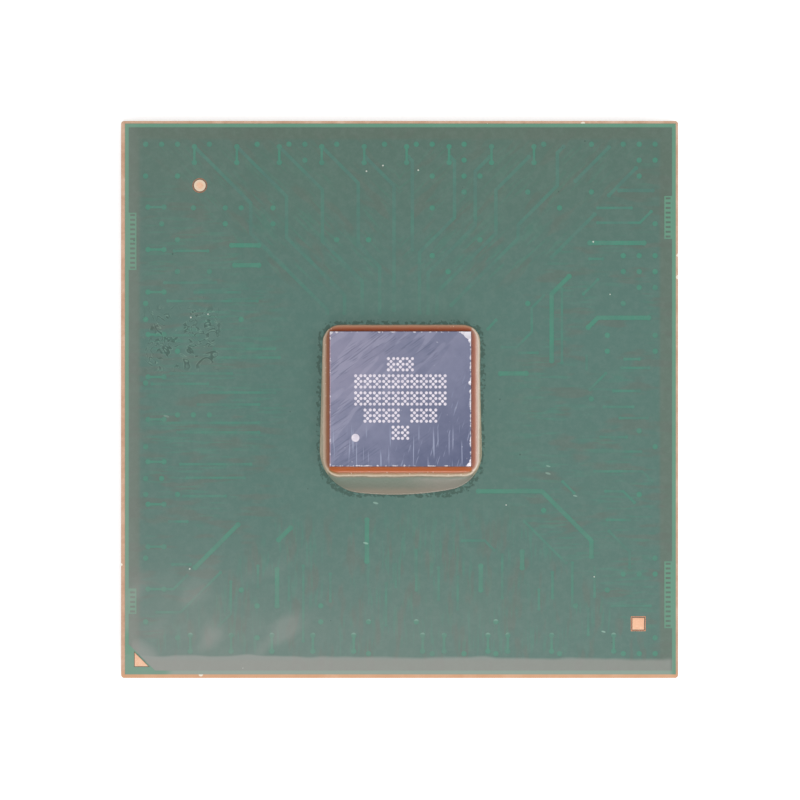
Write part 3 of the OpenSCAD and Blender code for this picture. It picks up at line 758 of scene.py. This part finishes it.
def reach(inside, px, py, ux, uy):
    """How far a shape goes from a point in a direction."""
    near, far = 0.0, FARTHEST
    for _ in range(24):
        middle = (near + far) / 2
        if inside(px + ux * middle, py + uy * middle):
            near = middle
        else:
            far = middle
    return near


def wobble(angle, seed):
    """The unsteady hand of the flow: a sum of waves round the die, between about -1 and 1."""
    return sum(math.sin(angle * n + seed * n) / n for n in (5, 9, 14, 23)) / 2.2


def stations():
    """Points round the die, each with its outward direction."""
    corners = [(half_x, -half_y), (half_x, half_y), (-half_x, half_y), (-half_x, -half_y)]
    for side in range(4):
        (ax, ay), (bx, by) = corners[side], corners[(side + 1) % 4]
        for i in range(SIDE_STEPS + 1):
            share = (1 - math.cos(math.pi * i / SIDE_STEPS)) / 2
            turn = side * math.pi / 2
            yield ax + (bx - ax) * share, ay + (by - ay) * share, math.cos(turn), math.sin(turn)
        for i in range(1, CORNER_STEPS):
            turn = (side + i / CORNER_STEPS) * math.pi / 2
            yield bx, by, math.cos(turn), math.sin(turn)


def climb_at(px, py):
    """How high the resin stands on the die's wall: less where the fillet's outline is near."""
    room = min(reach(in_fillet, px, py, math.cos(k * math.pi / 8), math.sin(k * math.pi / 8))
               for k in range(16))
    return FILLET_H * min(1.0, room / FULL_WIDTH) ** 0.5


def resin_section(width, film, climb):
    """(distance from the die, height) from the foot of the die's wall to the film's rim."""
    points = [(0.0, 0.0)]
    for i in range(PROFILE_STEPS + 1):
        share = i / PROFILE_STEPS
        points.append((width * share, TOE_T + (climb - TOE_T) * (1 - share) ** FILLET_CURVE))
    spare = film - width
    bead = min(BEAD_W, spare * 0.7)
    flat = spare - bead
    for back, height in ((bead + flat * 0.7, FILM_T), (bead + flat * 0.1, FILM_T),
                         (bead * 0.62, BEAD_T * 0.93), (bead * 0.35, BEAD_T),
                         (bead * 0.1, BEAD_T * 0.6), (0.0, 0.0)):
        points.append((film - back, height))
    return points


shape = bmesh.new()
rings = []
for sx, sy, ux, uy in stations():
    bearing = math.atan2(sy, sx)
    width = reach(in_fillet, sx, sy, ux, uy) * (1 + FILLET_WOBBLE * wobble(bearing, 1.7))
    film = reach(in_film, sx, sy, ux, uy) * (1 + FILM_WOBBLE * wobble(bearing, 4.1))
    film = max(film, width + FILM_LEAST)
    rings.append([shape.verts.new(((centre.x + sx + ux * out) * MM, (centre.y + sy + uy * out) * MM,
                                   (top_level + height) * MM))
                  for out, height in resin_section(width, film, climb_at(sx, sy))])
for ring, following in zip(rings, rings[1:] + rings[:1]):
    for k in range(len(ring)):
        after = (k + 1) % len(ring)
        shape.faces.new((ring[k], ring[after], following[after], following[k]))
bmesh.ops.remove_doubles(shape, verts=shape.verts, dist=0.0001 * MM)
bmesh.ops.recalc_face_normals(shape, faces=shape.faces)
fillet_mesh = bpy.data.meshes.new("underfill_resin")
shape.to_mesh(fillet_mesh)
shape.free()

# The layer under the die, with a hole round each bump: a sheet of square cells, each with an
# eight-sided hole, given its thickness between the board and the die
bump_low, bump_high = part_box("solder_bumps")
BUMP_D = 0.13 * MM
BUMP_PITCH = 0.4 * MM
columns = round((bump_high.x - bump_low.x - BUMP_D) / BUMP_PITCH) + 1
rows = round((bump_high.y - bump_low.y - BUMP_D) / BUMP_PITCH) + 1
layer_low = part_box("bump_pads")[1].z
layer_high = bump_high.z
sheet = bmesh.new()
hole_r = BUMP_D / 2 / math.cos(math.pi / 8)
half = BUMP_PITCH / 2
rim = [(half, 0), (half, half), (0, half), (-half, half), (-half, 0), (-half, -half), (0, -half),
       (half, -half)]
for i in range(columns):
    for j in range(rows):
        cx = bump_low.x + BUMP_D / 2 + i * BUMP_PITCH
        cy = bump_low.y + BUMP_D / 2 + j * BUMP_PITCH
        for height, flip in ((layer_high, False), (layer_low, True)):
            outer = [sheet.verts.new((cx + px, cy + py, height)) for px, py in rim]
            inner = [sheet.verts.new((cx + hole_r * math.cos(k * math.pi / 4),
                                      cy + hole_r * math.sin(k * math.pi / 4), height))
                     for k in range(8)]
            for k in range(8):
                after = (k + 1) % 8
                corners = [inner[k], outer[k], outer[after], inner[after]]
                sheet.faces.new(corners[::-1] if flip else corners)
bmesh.ops.remove_doubles(sheet, verts=sheet.verts, dist=0.001 * MM)


def from_above(vertex):
    """Where a corner stands in plan, to a tenth of a micrometre."""
    return round(vertex.co.x * 1e7), round(vertex.co.y * 1e7)


middle = (layer_low + layer_high) / 2
open_edges = [edge for edge in sheet.edges if edge.is_boundary and edge.verts[0].co.z > middle]
lower = {from_above(vertex): vertex for vertex in sheet.verts if vertex.co.z < middle}
for edge in open_edges:
    top_a, top_b = edge.verts
    sheet.faces.new((top_a, top_b, lower[from_above(top_b)], lower[from_above(top_a)]))
bmesh.ops.recalc_face_normals(sheet, faces=sheet.faces)
layer_mesh = bpy.data.meshes.new("underfill_layer")
sheet.to_mesh(layer_mesh)
sheet.free()

# Colour by the way out from the die: 1 is the fillet's outline, and each millimetre beyond it on
# the film adds 1. The ramps hold a part of that way out.
WAY_OUT = 2.5


def by_way_out(tree, way_out, *stops):
    return bands(tree, calc(tree, "DIVIDE", way_out, WAY_OUT),
                 *[(far / WAY_OUT, shade) for far, shade in stops])


def wide_of(tree, side, first, second):
    """The fillet's width on the near side of an axis: second where side is above 0."""
    return plus(tree, first, times(tree, calc(tree, "GREATER_THAN", side, 0.0), second - first))


resin, tree, shader = finish_of("amber resin", Roughness=0.24)
spot = place(tree)
x, y, z = axes(tree, spot)
right_of = less(tree, x, centre.x)
behind = less(tree, y, centre.y)
out_x = less(tree, calc(tree, "ABSOLUTE", right_of), half_x)
out_y = less(tree, calc(tree, "ABSOLUTE", behind), half_y)
away = length_of(tree, out_x, out_y)
wide_x = wide_of(tree, right_of, FILLET_WIDE["left"], FILLET_WIDE["right"])
wide_y = wide_of(tree, behind, FILLET_WIDE["front"], FILLET_WIDE["back"])
past_x = plus(tree, less(tree, out_x, wide_x), FILLET_CORNER_R)
past_y = plus(tree, less(tree, out_y, wide_y), FILLET_CORNER_R)
beyond = less(tree, length_of(tree, past_x, past_y), FILLET_CORNER_R)
inside = calc(tree, "DIVIDE", away, calc(tree, "MAXIMUM", less(tree, away, beyond), 0.01),
              clamp=True)
tone = use(tree, uneven, Place=spot, Size=0.9)
way_out = plus(tree, inside, calc(tree, "MAXIMUM", beyond, 0.0))
way_out = plus(tree, way_out, times(tree, less(tree, tone, 0.5), 0.2))
# The four sides' ramps are lit and shaded copies of one resin, which is painted light: the back is
# darker, where less light falls; the right's pale stop at 0.84 is a painted glint; the left's pale
# stops up to 1.0 and the front's cream line at 1.0 are painted highlights.
back_side = by_way_out(tree, way_out, (0.05, colour(96, 34, 28)), (0.22, colour(150, 66, 42)),
                       (0.44, colour(176, 92, 60)), (0.73, colour(182, 116, 84)),
                       (0.95, colour(184, 140, 112)), (1.06, colour(128, 124, 100)))
left_side = by_way_out(tree, way_out, (0.0, colour(130, 60, 46)), (0.24, colour(168, 100, 72)),
                       (0.52, colour(166, 112, 84)), (0.76, colour(184, 152, 130)),
                       (1.0, colour(194, 176, 154)), (1.08, colour(150, 144, 122)),
                       (1.3, colour(160, 154, 132)))
right_side = by_way_out(tree, way_out, (0.04, colour(112, 44, 40)), (0.21, colour(152, 90, 74)),
                        (0.44, colour(172, 112, 94)), (0.67, colour(186, 148, 130)),
                        (0.84, colour(214, 200, 186)), (0.98, colour(190, 174, 150)),
                        (1.08, colour(140, 136, 112)))
front_side = by_way_out(tree, way_out, (0.03, colour(88, 34, 22)), (0.15, colour(176, 84, 38)),
                        (0.6, colour(182, 94, 44)), (0.75, colour(140, 96, 54)),
                        (0.88, colour(160, 128, 86)), (1.0, colour(206, 190, 166)),
                        (1.07, colour(124, 114, 90)), (1.16, colour(104, 120, 104)),
                        (1.7, colour(112, 118, 104)), (2.0, colour(136, 128, 112)))
# Painted highlight: the film is drawn paler towards its right.
painted_sheen_right = step_up(tree, plus(tree, right_of, times(tree, tone, 3.0)), 1.5, 4.5)
painted_sheen_right = times(tree, painted_sheen_right, step_up(tree, way_out, 1.1, 1.25))
front_side = over(tree, times(tree, painted_sheen_right, 0.5), front_side, colour(152, 142, 132))
shade = over(tree, step_up(tree, right_of, -0.5, 0.5), left_side, right_side)
aside = calc(tree, "DIVIDE", calc(tree, "MAXIMUM", out_x, 0.0), calc(tree, "MAXIMUM", away, 0.01))
ends = over(tree, step_up(tree, behind, -0.5, 0.5), front_side, back_side)
shade = over(tree, step_up(tree, aside, 0.05, 0.5), ends, shade)
# Painted glints: bright flecks over the fillet's outer part.
painted_glint_fleck = use(tree, specks, Place=spot, Cell=0.16, Share=0.16, Grain=0.24)
painted_glint_fleck = times(tree, painted_glint_fleck, step_up(tree, way_out, 0.5, 0.8))
painted_glint_fleck = times(tree, painted_glint_fleck, step_up(tree, way_out, 1.2, 0.9))
feed(tree, shader["Base Color"], over(tree, times(tree, painted_glint_fleck, 0.5), shade, colour(232, 216, 196)))
feed(tree, shader["Normal"], bump(tree, cloud(tree, spot, 5.0, 3.0), 0.2, 0.02))

fillet = shown("underfill_resin", fillet_mesh)
layer = shown("underfill_layer", layer_mesh)
for piece in (fillet, layer):
    piece.data.materials.append(resin)
    for face in piece.data.polygons:
        face.use_smooth = piece is fillet
    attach(piece, "root")
    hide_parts("underfill")

# ---------------------------------------------------------------- floor, lights and camera
# The package lies on its balls on a plain pale floor, under a broad soft light from above and
# weaker ones from the front and the right, and the camera looks straight down.

FLOOR_SIDE = 2.0
FLOOR_GLOW = 0.5
SKY_LIGHT = 0.62
floor_mesh = bpy.data.meshes.new("floor")
half_side = FLOOR_SIDE / 2
floor_mesh.from_pydata([(-half_side, -half_side, 0), (half_side, -half_side, 0),
                        (half_side, half_side, 0), (-half_side, half_side, 0)],
                       [], [(0, 1, 2, 3)])
floor = shown("floor", floor_mesh)
paper, tree, shader = finish_of("white paper", Roughness=0.9)
shader["Base Color"].default_value = (0.8, 0.8, 0.8, 1)
glow = tree.nodes.new("ShaderNodeEmission")
glow.inputs["Color"].default_value = (1, 1, 1, 1)
seen = tree.nodes.new("ShaderNodeLightPath")
direct = calc(tree, "MAXIMUM", seen.outputs["Is Camera Ray"], seen.outputs["Is Glossy Ray"])
feed(tree, glow.inputs["Strength"], times(tree, direct, FLOOR_GLOW))
both = tree.nodes.new("ShaderNodeAddShader")
feed(tree, both.inputs[0], tree.nodes["Principled BSDF"].outputs[0])
feed(tree, both.inputs[1], glow.outputs[0])
feed(tree, tree.nodes["Material Output"].inputs["Surface"], both.outputs[0])
floor.data.materials.append(paper)

world = bpy.data.worlds.new("studio")
bpy.context.scene.world = world
world.use_nodes = True
tree = world.node_tree
seen = tree.nodes.new("ShaderNodeLightPath")
strength = plus(tree, SKY_LIGHT, times(tree, seen.outputs["Is Camera Ray"], 1.0 - SKY_LIGHT))
feed(tree, tree.nodes["Background"].inputs["Strength"], strength)
tree.nodes["Background"].inputs["Color"].default_value = (1, 1, 1, 1)


def softbox(name, at, side, power):
    """A square lamp at a point, in metres, turned to the board."""
    lamp = bpy.data.lights.new(name, "AREA")
    lamp.shape = "SQUARE"
    lamp.size = side
    lamp.energy = power
    made = bpy.data.objects.new(name, lamp)
    made.location = at
    made.rotation_euler = (-Vector(at)).to_track_quat("-Z", "Y").to_euler()
    bpy.context.collection.objects.link(made)


softbox("key", (0.06, -0.12, 0.42), 0.18, 0.5)
softbox("front", (0.02, -0.34, 0.24), 0.12, 0.3)
softbox("right", (0.34, -0.02, 0.24), 0.10, 0.28)

VIEW_X, VIEW_Y = 0.025 * MM, -0.035 * MM
VIEW_WIDTH = 50.25 * MM
LENS = 120.0
SENSOR = 36.0
camera_data = bpy.data.cameras.new("camera")
camera_data.lens = LENS
camera_data.sensor_width = SENSOR
camera = bpy.data.objects.new("camera", camera_data)
camera.location = (VIEW_X, VIEW_Y, top_level * MM + VIEW_WIDTH * LENS / SENSOR)
bpy.context.collection.objects.link(camera)
bpy.context.scene.camera = camera
bpy.context.scene.view_settings.view_transform = "Standard"
